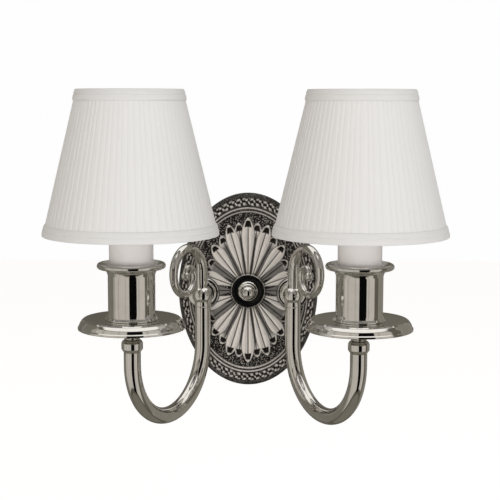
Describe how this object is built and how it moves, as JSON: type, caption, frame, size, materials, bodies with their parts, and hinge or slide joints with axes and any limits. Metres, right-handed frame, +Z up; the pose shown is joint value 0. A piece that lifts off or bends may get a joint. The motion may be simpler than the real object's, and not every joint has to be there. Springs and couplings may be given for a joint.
{
  "type": "double arm wall sconce",
  "caption": "Wall sconce with curved tube arms on an oval ornamental back plate, candle cups and pleated clip-on shades.",
  "frame": {"origin": "centre of the crossbar's back face, on the wall and at the centre of the oval plate", "axes": "+X to the viewer's right along the wall, +Y into the wall, +Z up along the candles"},
  "size_m": [0.3234, 0.1857, 0.2799],
  "materials": {
    "nickel": "polished nickel plate on brass",
    "antique_nickel": "antiqued nickel casting, dark in the recesses",
    "black_enamel": "gloss black",
    "steel": "zinc plated steel",
    "green_screw": "green ground screw",
    "sleeve": "warm white candle sleeve",
    "phenolic": "moulded black",
    "brass": "stamped brass",
    "lead_insulation": "pale insulation",
    "bulb_base": "rolled screw base",
    "bulb_glass": "frosted",
    "clip_wire": "plated spring wire",
    "shade_fabric": "off-white pleated fabric",
    "shade_lining": "white lining sheet",
    "shade_trim": "off-white rolled trim"
  },
  "bodies": {
    "fixture": {"backplate": "antique_nickel", "boss_ring": "nickel", "black_washer": "black_enamel", "crossbar": "steel", "centre_rod": "steel", "rod_nut": "steel", "ground_screw": "green_screw", "arm_nipples": "steel", "arm_nuts": "steel", "candle_nipples": "steel", "nipple_nuts": "steel", "socket_contacts": "brass", "arm_disc_left": "nickel", "arm_ball_left": "nickel", "arm_tube_left": "nickel", "scroll_left": "nickel", "collar_left": "nickel", "neck_left": "nickel", "dish_left": "nickel", "cup_left": "nickel", "socket_bracket_left": "steel", "socket_left": "phenolic", "screw_shell_left": "brass", "lead_left": "lead_insulation", "arm_disc_right": "nickel", "arm_ball_right": "nickel", "arm_tube_right": "nickel", "scroll_right": "nickel", "collar_right": "nickel", "neck_right": "nickel", "dish_right": "nickel", "cup_right": "nickel", "socket_bracket_right": "steel", "socket_right": "phenolic", "screw_shell_right": "brass", "lead_right": "lead_insulation"},
    "knob": {"centre_knob": "nickel"},
    "bulb_left": {"bulb_base_left": "bulb_base", "bulb_glass_left": "bulb_glass"},
    "sleeve_left": {"candle_sleeve_left": "sleeve"},
    "clip_left": {"bulb_clip_left": "clip_wire"},
    "shade_left": {"shade_hanger_left": "clip_wire", "bottom_ring_left": "clip_wire", "shade_cover_left": "shade_fabric", "shade_lining_left": "shade_lining", "bottom_trim_left": "shade_trim", "top_trim_left": "shade_trim"},
    "bulb_right": {"bulb_base_right": "bulb_base", "bulb_glass_right": "bulb_glass"},
    "sleeve_right": {"candle_sleeve_right": "sleeve"},
    "clip_right": {"bulb_clip_right": "clip_wire"},
    "shade_right": {"shade_hanger_right": "clip_wire", "bottom_ring_right": "clip_wire", "shade_cover_right": "shade_fabric", "shade_lining_right": "shade_lining", "bottom_trim_right": "shade_trim", "top_trim_right": "shade_trim"}
  },
  "joints": [
    {"name": "knob_turn", "type": "hinge", "parent": "fixture", "child": "knob", "pos_m": [0, -0.0132, 0], "axis": [0, -1, 0], "range_deg": [0, 1440]},
    {"name": "bulb_turn_left", "type": "hinge", "parent": "fixture", "child": "bulb_left", "pos_m": [-0.091, -0.115, 0.0472], "axis": [0, 0, 1], "range_deg": [0, 1260]},
    {"name": "sleeve_lift_left", "type": "slide", "parent": "fixture", "child": "sleeve_left", "axis": [0, 0, 1], "range_m": [0, 0.008]},
    {"name": "clip_lift_left", "type": "slide", "parent": "fixture", "child": "clip_left", "axis": [0, 0, 1], "range_m": [0, 0.07]},
    {"name": "shade_tilt_left", "type": "hinge", "parent": "clip_left", "child": "shade_left", "pos_m": [-0.091, -0.115, 0.159], "axis": [1, 0, 0], "range_deg": [-12, 12]},
    {"name": "bulb_turn_right", "type": "hinge", "parent": "fixture", "child": "bulb_right", "pos_m": [0.091, -0.115, 0.0472], "axis": [0, 0, 1], "range_deg": [0, 1260]},
    {"name": "sleeve_lift_right", "type": "slide", "parent": "fixture", "child": "sleeve_right", "axis": [0, 0, 1], "range_m": [0, 0.008]},
    {"name": "clip_lift_right", "type": "slide", "parent": "fixture", "child": "clip_right", "axis": [0, 0, 1], "range_m": [0, 0.07]},
    {"name": "shade_tilt_right", "type": "hinge", "parent": "clip_right", "child": "shade_right", "pos_m": [0.091, -0.115, 0.159], "axis": [1, 0, 0], "range_deg": [-12, 12]}
  ]
}
